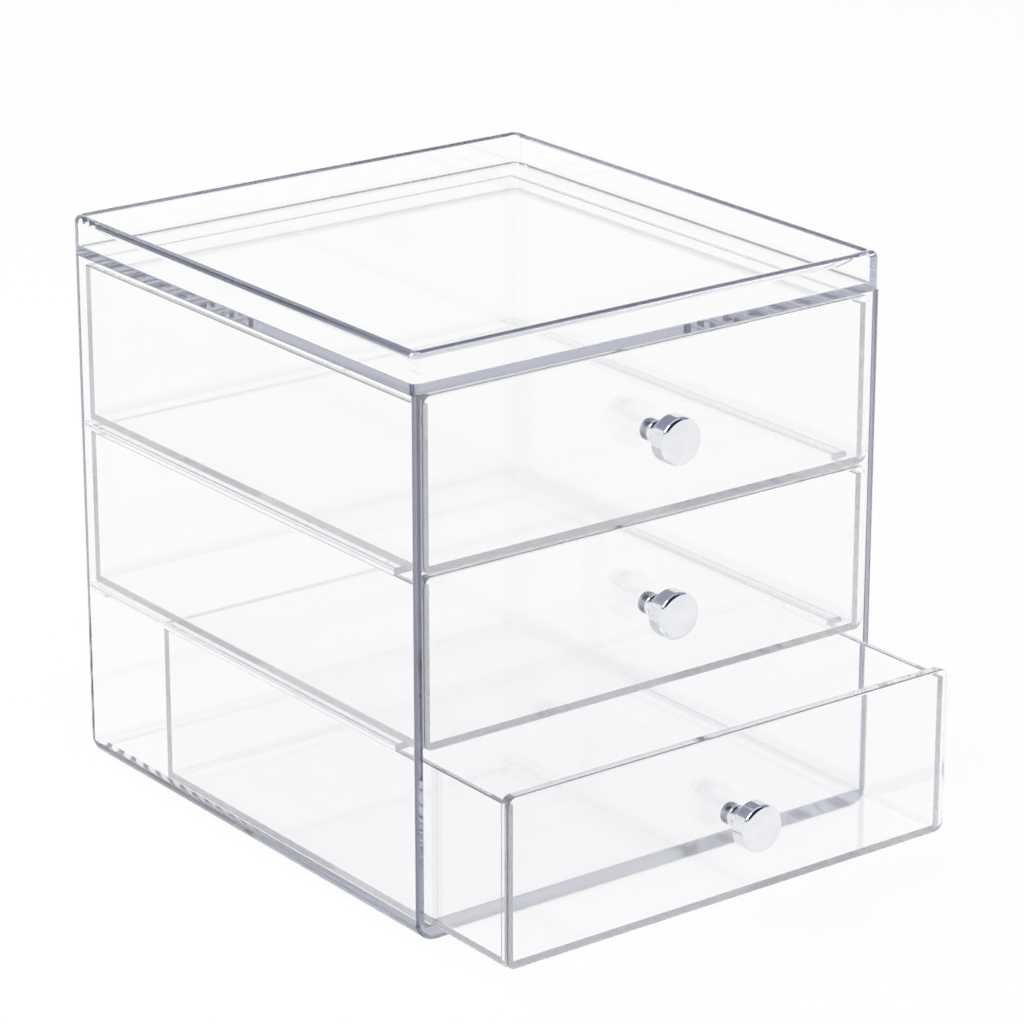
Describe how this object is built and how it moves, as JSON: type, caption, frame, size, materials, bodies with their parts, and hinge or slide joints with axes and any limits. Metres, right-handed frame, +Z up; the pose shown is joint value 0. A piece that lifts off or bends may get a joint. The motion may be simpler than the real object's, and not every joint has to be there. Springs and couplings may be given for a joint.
{
  "type": "drawer organizer",
  "caption": "Clear box-shaped tabletop organizer with stacked pull-out drawers, round metal knobs and a shallow rimmed tray on top.",
  "frame": {"origin": "middle of the casing's footprint, on the underside that rests on the table", "axes": "+Z up, -Y towards the drawer fronts, +X to the right of someone facing the drawers"},
  "size_m": [0.164, 0.2219, 0.171],
  "materials": {
    "clear_casing": "clear polished polystyrene",
    "clear_drawer": "clear polished polystyrene",
    "knob": "polished chrome plating",
    "screw": "zinc-plated steel"
  },
  "bodies": {
    "case": {"casing": "clear_casing", "top_tray": "clear_casing", "runner_middle_left": "clear_casing", "runner_middle_right": "clear_casing", "runner_upper_left": "clear_casing", "runner_upper_right": "clear_casing"},
    "lower_drawer": {"drawer_lower": "clear_drawer", "knob_lower": "knob", "screw_lower": "screw"},
    "middle_drawer": {"drawer_middle": "clear_drawer", "knob_middle": "knob", "screw_middle": "screw"},
    "upper_drawer": {"drawer_upper": "clear_drawer", "knob_upper": "knob", "screw_upper": "screw"}
  },
  "joints": [
    {"name": "lower_drawer_slide", "type": "slide", "parent": "case", "child": "lower_drawer", "axis": [0, -1, 0], "range_m": [-0.0375, 0.0825]},
    {"name": "middle_drawer_slide", "type": "slide", "parent": "case", "child": "middle_drawer", "axis": [0, -1, 0], "range_m": [0, 0.12]},
    {"name": "upper_drawer_slide", "type": "slide", "parent": "case", "child": "upper_drawer", "axis": [0, -1, 0], "range_m": [0, 0.12]}
  ]
}
